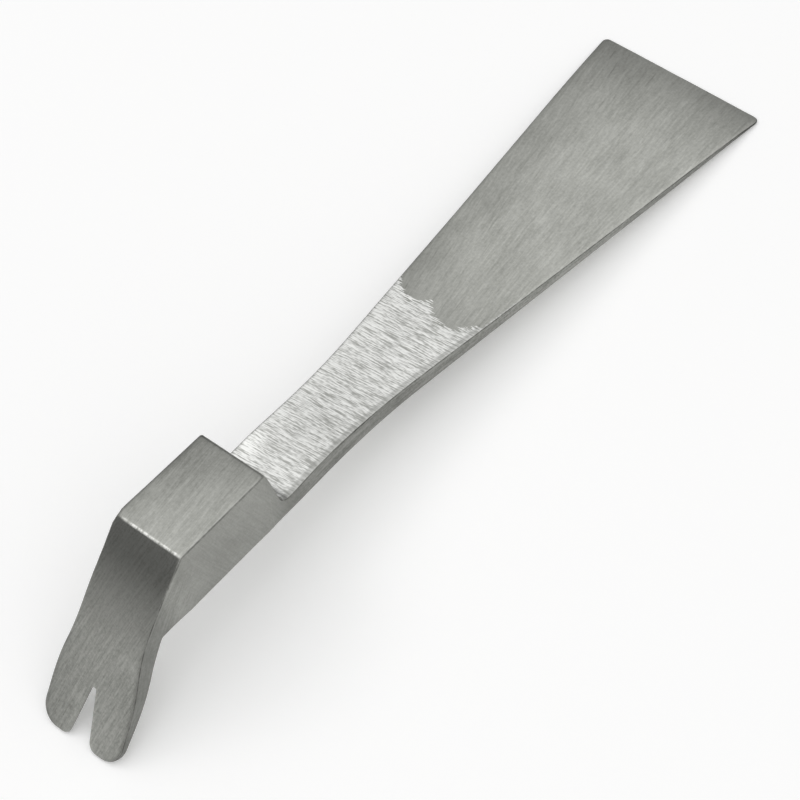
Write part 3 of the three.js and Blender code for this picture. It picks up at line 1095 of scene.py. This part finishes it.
class Finish:
    """Adds the nodes of one material."""

    def __init__(self, tree):
        self.tree = tree

    def node(self, kind, settings=None, sockets=None):
        made = self.tree.nodes.new(kind)
        for name, value in (settings or {}).items():
            setattr(made, name, value)
        for name, value in (sockets or {}).items():
            source = getattr(value, "socket", value)
            if isinstance(source, bpy.types.NodeSocket):
                self.tree.links.new(source, made.inputs[name])
            else:
                made.inputs[name].default_value = value
        return made

    def level(self, kind, settings=None, sockets=None):
        return Level(self, self.node(kind, settings, sockets).outputs[0])

    def mark(self, name):
        """One of the marks that the skin carries."""
        return self.node("ShaderNodeAttribute", {"attribute_name": name})

    def marked(self, name):
        """A mark that is a single number, as a level."""
        return Level(self, self.mark(name).outputs["Fac"])

    def stretched(self, vector, scale, shift):
        settings = {"operation": "MULTIPLY_ADD"}
        sockets = {0: vector, 1: scale, 2: shift}
        return self.node("ShaderNodeVectorMath", settings, sockets).outputs[0]

    def cloud(self, vector, scale, detail, shift=UNSHIFTED, rough=0.5):
        """Noise that repeats so many times along, across and below."""
        sockets = {
            "Vector": self.stretched(vector, scale, shift),
            "Scale": 1.0,
            "Detail": detail,
            "Roughness": rough,
        }
        return self.level("ShaderNodeTexNoise", {"noise_dimensions": "3D"}, sockets)

    def parts(self, vector):
        split = self.node("ShaderNodeSeparateXYZ", None, {0: vector})
        return [Level(self, socket) for socket in split.outputs]

    def vector(self, x, y, z):
        return self.node("ShaderNodeCombineXYZ", None, {0: x, 1: y, 2: z}).outputs[0]

    def dimmed(self, tone, level):
        """A colour made darker where the level is below one."""
        grey = self.vector(level, level, level)
        settings = {"operation": "MULTIPLY"}
        return self.node("ShaderNodeVectorMath", settings, {0: tone, 1: grey}).outputs[0]

    def mixed(self, factor, first, second):
        """A colour between two colours."""
        settings = {"data_type": "RGBA", "blend_type": "MIX", "clamp_factor": True}
        return self.node("ShaderNodeMix", settings, {0: factor, 6: first, 7: second}).outputs[2]


def opaque(rgb):
    """A colour with its alpha."""
    return (rgb[0], rgb[1], rgb[2], 1.0)


def blend(part, first, second):
    """The first level where the part is nothing, the second where it is one."""
    return first + (second - first) * part


class Spot:
    """Where a point of the skin is: levels in millimetres, or from nothing to one."""

    def __init__(self, finish, s):
        self.s = s
        self.ground_end = s.blade_reach * GROUND_SHARE
        self.place = finish.mark("place").outputs["Vector"]
        self.grain = finish.mark("grain").outputs["Vector"]
        self.x, self.y, self.z = finish.parts(self.place)
        self.along, self.across, self.depth = finish.parts(self.grain)
        self.worn = finish.marked("worn")
        self.rim = finish.marked("rim")
        self.side = finish.marked("side")
        self.top = 1.0 - self.side
        self.claw = 1.0 - self.x.rise(-0.4, 0.2)

    def behind_head(self, low, high):
        """From nothing to one between two distances behind the head's top."""
        return self.x.rise(self.s.head_length + low, self.s.head_length + high)


def satin_flow(finish, spot):
    """Where the satin's lines run: slanting on the claw and the head, fanning on the blade."""
    x, y, claw = spot.x, spot.y, spot.claw
    blade = spot.behind_head(0.0, 1.0)
    head = (1.0 - claw) * (1.0 - blade)
    across = (y + spot.along * FLOW.claw_slope) * claw + (y - x * FLOW.head_slope) * head
    fan = (y + FLOW.fan_line) / (1.0 + (x - FLOW.fan_start) * FLOW.fan_rate)
    return finish.vector(spot.along, across + fan * blade, spot.depth)


def satin_levels(finish, flow, place, contrast=1.0, scratched=SATIN.scratched):
    """Tone and height of the satin."""
    fine = finish.cloud(flow, *SATIN_FINE)
    wide = finish.cloud(flow, *SATIN_WIDE)
    speckle = finish.cloud(place, *SPECKLE)
    drift = finish.cloud(place, *DRIFT)
    scratch = finish.cloud(flow, *SCRATCH).rise(*SATIN.scratch_at) * scratched
    lines = (fine - 0.5) * SATIN.fine + (wide - 0.5) * SATIN.wide
    lines = lines + (speckle - 0.5) * SATIN.speckle
    tone = SATIN.middle + lines * contrast + (drift - 0.5) * SATIN.drift
    tone = tone - scratch * SATIN.scratch
    height = fine + speckle * SATIN.speckle_height - scratch * SATIN.scratch_height
    return tone.kept(), height


def flank_levels(finish, spot):
    """The side faces: ground across on the head, lengthwise on the claw and along the blade."""
    x, z, place = spot.x, spot.z, spot.place
    steep, slight = math.sin(FLANK_SLANT), math.cos(FLANK_SLANT)
    down_claw = finish.vector(spot.along, spot.depth, spot.across)
    crosswise = finish.vector(z * steep - x * slight, x * steep + z * slight, 0.0)
    lengthwise = finish.vector(x * FLANK.stretch, z, spot.y * FLANK.lean)
    claw = satin_levels(finish, down_claw, place)
    head = satin_levels(finish, crosswise, place, FLANK.head_contrast)
    blade = satin_levels(finish, lengthwise, place, FLANK.blade_contrast)
    front = x.rise(*FLANK.front)
    rear = spot.behind_head(*FLANK.rear)
    return [blend(rear, blend(front, c, h), b) for c, h, b in zip(claw, head, blade)]


def ground_levels(finish, spot):
    """Tone and height of the cross-ground strokes."""
    x, y, place = spot.x, spot.y, spot.place
    sway = finish.cloud(place, *STROKE_SWAY) - 0.5
    slant = finish.vector(x + sway * STROKES.sway + y * STROKES.slope, y, 0.0)
    fine = finish.cloud(slant, *STROKE_FINE)
    thin = finish.cloud(slant, *STROKE_THIN)
    short = finish.cloud(slant, *STROKE_SHORT)
    broad = finish.cloud(place, *STROKE_BROAD)
    lines = (fine - 0.5) * STROKES.fine + (thin - 0.5) * STROKES.thin
    lines = lines + (short - 0.5) * STROKES.short
    tone = lines + (broad - 0.5) * STROKES.broad + STROKES.middle
    # Painted light: the strokes are painted brighter towards the far side
    tone = tone + y.rise(*STROKES.far_at) * STROKES.far
    return tone.kept(), fine + thin * STROKES.thin_height


def ground_patch(spot, strokes):
    """Where the top is bright: the neck, up to a ragged edge, and a sliver along one rim."""
    x, y, end = spot.x, spot.y, spot.ground_end
    far = y - PATCH.far_middle
    near = y + PATCH.near_middle
    far_border = far * far * PATCH.far_curve + (end - PATCH.far_short)
    near_border = near * near * PATCH.near_curve + (end - PATCH.near_short)
    border = far_border.lowest(near_border)
    inside = 1.0 - (x - border - (strokes - 0.5) * PATCH.ragged).rise(*PATCH.border)
    near_side = 1.0 - y.rise(*MIDDLE)
    width = (end + PATCH.sliver_past - x) * PATCH.sliver_taper
    sliver = (1.0 - (spot.rim - width).rise(*PATCH.sliver_border)) * near_side
    on_top = (1.0 - spot.depth.rise(*PATCH.below_top)) * spot.top
    return inside.highest(sliver) * spot.behind_head(*PATCH.behind_head) * on_top


def painted_top_shade(spot):
    """Painted shade on the top's satin, standing in for how the light falls: how much darker it is
    on the blade, the head, and the claw's root and tips.
    """
    x, y, rim, claw = spot.x, spot.y, spot.rim, spot.claw
    painted_shade = PAINTED_TOP_SHADE
    blade = x.rise(*painted_shade.blade_at)
    beyond = blade * y.rise(*painted_shade.far_at) * painted_shade.far
    first, last = (spot.ground_end + at for at in painted_shade.start_at)
    start = (1.0 - (x - y * painted_shade.start_slope).rise(first, last)) * blade * painted_shade.start
    head = (1.0 - spot.behind_head(*painted_shade.head_end)) * (1.0 - claw)
    behind = spot.s.head_length + painted_shade.back_past
    back = (x + y * painted_shade.back_slope).rise(0.0, behind) * painted_shade.back
    back = back + spot.behind_head(*painted_shade.rear_at) * painted_shade.rear + painted_shade.head
    lip = (1.0 - rim.rise(*painted_shade.lip_rim)) * y.rise(*painted_shade.lip_far) * painted_shade.lip
    down = spot.s.face_length - spot.along
    # painted shade on the claw: darkest at its root, painted lighter further down its face
    root = painted_shade.root - down.rise(*painted_shade.claw_lit_at) * painted_shade.claw_lit
    root = root + down.rise(*painted_shade.claw_low_at) * painted_shade.claw_low
    tip_rim = (1.0 - rim.rise(*painted_shade.tip_rim_at)) * painted_shade.tip_rim
    tip_rim = tip_rim + y.rise(*painted_shade.tip_far_at) * painted_shade.tip_far
    tips = down.rise(*painted_shade.tips_at) * tip_rim
    return beyond + start + head * (back + lip) + claw * (root + tips)


def painted_side_shade(spot):
    """Painted shade: how much darker the side faces are painted than the top, as less light falls
    on them.
    """
    x, painted_shade = spot.x, PAINTED_SIDE_SHADE
    down = spot.s.face_length - spot.along
    claw = spot.claw * down.rise(*painted_shade.claw_at) * painted_shade.claw
    neck = spot.behind_head(*painted_shade.neck_at) * painted_shade.neck - x.rise(*painted_shade.flare_at) * painted_shade.flare
    return painted_shade.everywhere + neck + x.rise(*painted_shade.blade_at) * painted_shade.blade + claw


def painted_end_shade(spot):
    """Painted shade at the blade's end: how much darker it is, more so at its near corner."""
    painted_shade = PAINTED_END_SHADE
    reach = spot.s.blade_reach
    near = 1.0 - spot.y.rise(*painted_shade.near_at)
    band = spot.x.rise(*(reach + at for at in painted_shade.band_at)) * painted_shade.band
    corner = spot.x.rise(*(reach + at for at in painted_shade.corner_at))
    return band + corner * near * painted_shade.corner


def dark_edge_line(finish, spot):
    """The dark, uneven line along the long edges: strongest on the claw and the neck."""
    claw, x = spot.claw, spot.x
    bar = EDGES.head + x.rise(*EDGES.neck_at) * EDGES.neck
    where = claw * EDGES.claw + (1.0 - claw) * bar
    far_neck = spot.behind_head(*EDGES.far_neck) * spot.y.rise(*MIDDLE)
    uneven = finish.cloud(spot.place, *EDGE_WEAR).rise(*EDGES.uneven)
    return spot.worn * spot.side * (1.0 - far_neck) * where * uneven


def edge_polish_and_glint(finish, spot):
    """Where the front edge is polished by use and painted brighter as a glint, short of its far
    corner, and the glint's beads.
    """
    corner = spot.s.head_width / 2
    beads = finish.cloud(spot.place, *GLINT_BEADS).rise(*EDGES.beads)
    far_end = spot.y.rise(*(corner + at for at in EDGES.polish_end))
    return spot.worn * spot.top * (1.0 - far_end), beads


def steel(colours, s):
    """Stainless steel: satin all over, bright and cross-ground on top of the neck, with painted
    shade and a painted front-edge glint in its colour.
    """
    material = bpy.data.materials.new("brushed_steel")
    material.use_nodes = True
    tree = material.node_tree
    finish = Finish(tree)
    spot = Spot(finish, s)
    tones = {name: opaque(getattr(colours, name)) for name in colours.__annotations__}

    contrast = 1.0 + spot.claw * STEEL.claw_contrast
    scratched = spot.x.rise(*STEEL.scratched)
    flow = satin_flow(finish, spot)
    satin, satin_height = satin_levels(finish, flow, spot.place, contrast, scratched)
    flank, flank_height = flank_levels(finish, spot)
    satin = blend(spot.side, satin, flank)
    satin_height = blend(spot.side, satin_height, flank_height)
    # Painted shade from the end, the top and the sides darkens the satin's colour
    painted_shade = 1.0 - painted_end_shade(spot) - painted_top_shade(spot) * spot.top - painted_side_shade(spot) * spot.side
    satin_colour = finish.mixed(satin, tones["satin_shade"], tones["satin"])
    satin_colour = finish.dimmed(satin_colour, painted_shade)

    strokes, stroke_height = ground_levels(finish, spot)
    patch = ground_patch(spot, strokes)
    # Painted shade on the cross-ground neck: darker along its near rim and, on the near side, at
    # the head's foot, where less light falls
    near_rim = (1.0 - spot.rim.rise(*STEEL.rim)) * (1.0 - spot.y.rise(*MIDDLE))
    strokes = strokes * (1.0 - near_rim * STEEL.rim_strokes)
    foot = (1.0 - spot.behind_head(*STEEL.foot)) * (1.0 - spot.y.rise(*STEEL.foot_far))
    ground_colour = finish.mixed(strokes, tones["ground_shade"], tones["ground"])
    painted_ground_shade = 1.0 - foot * STEEL.foot_shade - near_rim * STEEL.rim_shade
    ground_colour = finish.dimmed(ground_colour, painted_ground_shade)

    base = finish.mixed(patch, satin_colour, ground_colour)
    polish_and_glint, beads = edge_polish_and_glint(finish, spot)
    # The front edge: polish from use, and a painted glint in beads
    base = finish.mixed(polish_and_glint, base, finish.mixed(beads, tones["satin_shade"], tones["worn"]))
    base = finish.mixed(dark_edge_line(finish, spot), base, tones["burr"])
    roughness = STEEL.roughness - (satin - 0.5) * STEEL.smoother_satin
    roughness = roughness - patch * STEEL.smoother_patch
    height = satin_height * (1.0 - patch) + stroke_height * patch * STEEL.stroke_height
    sockets = {"Strength": STEEL.bump, "Distance": GROOVE_DEPTH, "Height": height}
    bump = finish.node("ShaderNodeBump", None, sockets)

    shader = tree.nodes["Principled BSDF"]
    shader.inputs["Metallic"].default_value = 1.0
    tree.links.new(base, shader.inputs["Base Color"])
    tree.links.new(roughness.socket, shader.inputs["Roughness"])
    tree.links.new(bump.outputs[0], shader.inputs["Normal"])
    return material


# ---------------------------------------------------------------- studio


def floor_material(settings):
    """A dull, pale floor that lifts its own shadows a little."""
    material = bpy.data.materials.new("studio_floor")
    material.use_nodes = True
    shader = material.node_tree.nodes["Principled BSDF"]
    shader.inputs["Base Color"].default_value = opaque(settings.floor)
    shader.inputs["Roughness"].default_value = FLOOR.roughness
    shader.inputs["Specular IOR Level"].default_value = FLOOR.specular
    shader.inputs["Emission Color"].default_value = (1.0, 1.0, 1.0, 1.0)
    shader.inputs["Emission Strength"].default_value = FLOOR.glow
    return material


def make_floor(settings):
    """A wide round floor under the tool."""
    mesh = bpy.data.meshes.new("floor")
    bm = bmesh.new()
    bmesh.ops.create_circle(bm, cap_ends=True, segments=FLOOR.sides, radius=FLOOR.radius)
    bm.to_mesh(mesh)
    bm.free()
    floor = bpy.data.objects.new("floor", mesh)
    mesh.materials.append(floor_material(settings))
    bpy.context.scene.collection.objects.link(floor)


def softbox(name, direction, distance, size, watts):
    """A round soft light that faces the tool."""
    light = bpy.data.lights.new(name, "AREA")
    light.shape = "DISK"
    light.size = size
    light.energy = watts
    lamp = bpy.data.objects.new(name, light)
    towards = Vector(direction).normalized()
    lamp.location = towards * distance
    lamp.rotation_euler = towards.to_track_quat("Z", "Y").to_euler()
    bpy.context.scene.collection.objects.link(lamp)


def make_sky():
    """A soft bright ceiling that falls off to dim walls, dimmest behind the tool."""
    world = bpy.data.worlds.new("studio")
    world.use_nodes = True
    sky = Finish(world.node_tree)
    direction = sky.node("ShaderNodeTexCoord").outputs["Generated"]
    across, up = sky.parts(direction)[1:]
    front = 1.0 - across.rise(*SKY.front_at)
    sweep = (1.0 - up.rise(*SKY.low_at)) * SKY.low
    wall = (SKY.wall + front * SKY.front).highest(sweep)
    bright = wall + (SKY.ceiling - wall) * up.rise(*SKY.ceiling_at)
    background = world.node_tree.nodes["Background"]
    world.node_tree.links.new(bright.socket, background.inputs["Strength"])
    background.inputs["Color"].default_value = (1.0, 1.0, 1.0, 1.0)
    bpy.context.scene.world = world


def make_camera(settings):
    """Looks down on the tool from the claw's side."""
    data = bpy.data.cameras.new("camera")
    data.lens = settings.lens
    data.sensor_width = SENSOR
    data.clip_end = CLIP_END
    camera = bpy.data.objects.new("camera", data)
    middle = (CAD_LOW + CAD_HIGH) / 2
    aim = middle + Vector(AIM_FROM_MIDDLE)
    heading, height = settings.heading, settings.height
    back = Vector(
        (
            math.sin(heading) * math.cos(height),
            -math.cos(heading) * math.cos(height),
            math.sin(height),
        )
    )
    right = Vector((math.cos(heading), math.sin(heading), 0.0))
    up = back.cross(right)
    turn = Matrix((right, up, back)).transposed().to_4x4()
    roll = Matrix.Rotation(settings.roll, 4, "Z")
    camera.matrix_world = Matrix.Translation(aim + back * settings.distance) @ turn @ roll
    bpy.context.scene.collection.objects.link(camera)
    bpy.context.scene.camera = camera


# ---------------------------------------------------------------- operators and panel


class HIVETOOL_OT_forging(bpy.types.Operator):
    """Build the forged body, with its steel"""

    bl_idname = "hivetool.forging"
    bl_label = "Forged Body"

    def execute(self, context):
        s = millimetres(context.scene.forging_sizes)
        points, faces, marks = mirrored(Forging(s).build())
        mesh = make_mesh("forged_body", points, faces, marks, resting_place(s), s)
        piece = bpy.data.objects.new("forged_body", mesh)
        mesh.materials.append(steel(context.scene.steel_finish, s))
        context.scene.collection.objects.link(piece)
        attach(piece, BODY)
        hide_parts(NODE)
        return {"FINISHED"}


class HIVETOOL_OT_studio(bpy.types.Operator):
    """Build the floor, the soft lights and the camera"""

    bl_idname = "hivetool.studio"
    bl_label = "Studio"

    def execute(self, context):
        settings = context.scene.studio_settings
        make_floor(settings)
        make_sky()
        softbox("key", *KEY)
        softbox("fill", *FILL)
        make_camera(settings)
        context.scene.view_settings.view_transform = "Standard"
        return {"FINISHED"}


OPERATORS = (HIVETOOL_OT_forging, HIVETOOL_OT_studio)


class HIVETOOL_PT_panel(bpy.types.Panel):
    """Lists the tool's operators"""

    bl_idname = "HIVETOOL_PT_panel"
    bl_label = "Hive Tool"
    bl_space_type = "VIEW_3D"
    bl_region_type = "UI"
    bl_category = "Hive Tool"

    def draw(self, context):
        for operator in OPERATORS:
            self.layout.operator(operator.bl_idname)


SETTINGS = {
    "forging_sizes": ForgingSizes,
    "steel_finish": SteelFinish,
    "studio_settings": StudioSettings,
}


def register():
    for group in (*SETTINGS.values(), *OPERATORS, HIVETOOL_PT_panel):
        bpy.utils.register_class(group)
    for name, group in SETTINGS.items():
        setattr(bpy.types.Scene, name, bpy.props.PointerProperty(type=group))


def unregister():
    for name in SETTINGS:
        delattr(bpy.types.Scene, name)
    for group in (HIVETOOL_PT_panel, *reversed(OPERATORS), *SETTINGS.values()):
        bpy.utils.unregister_class(group)


def main():
    register()
    bpy.ops.hivetool.studio()
    bpy.ops.hivetool.forging()
    bpy.context.view_layer.update()


if __name__ == "__main__":
    main()
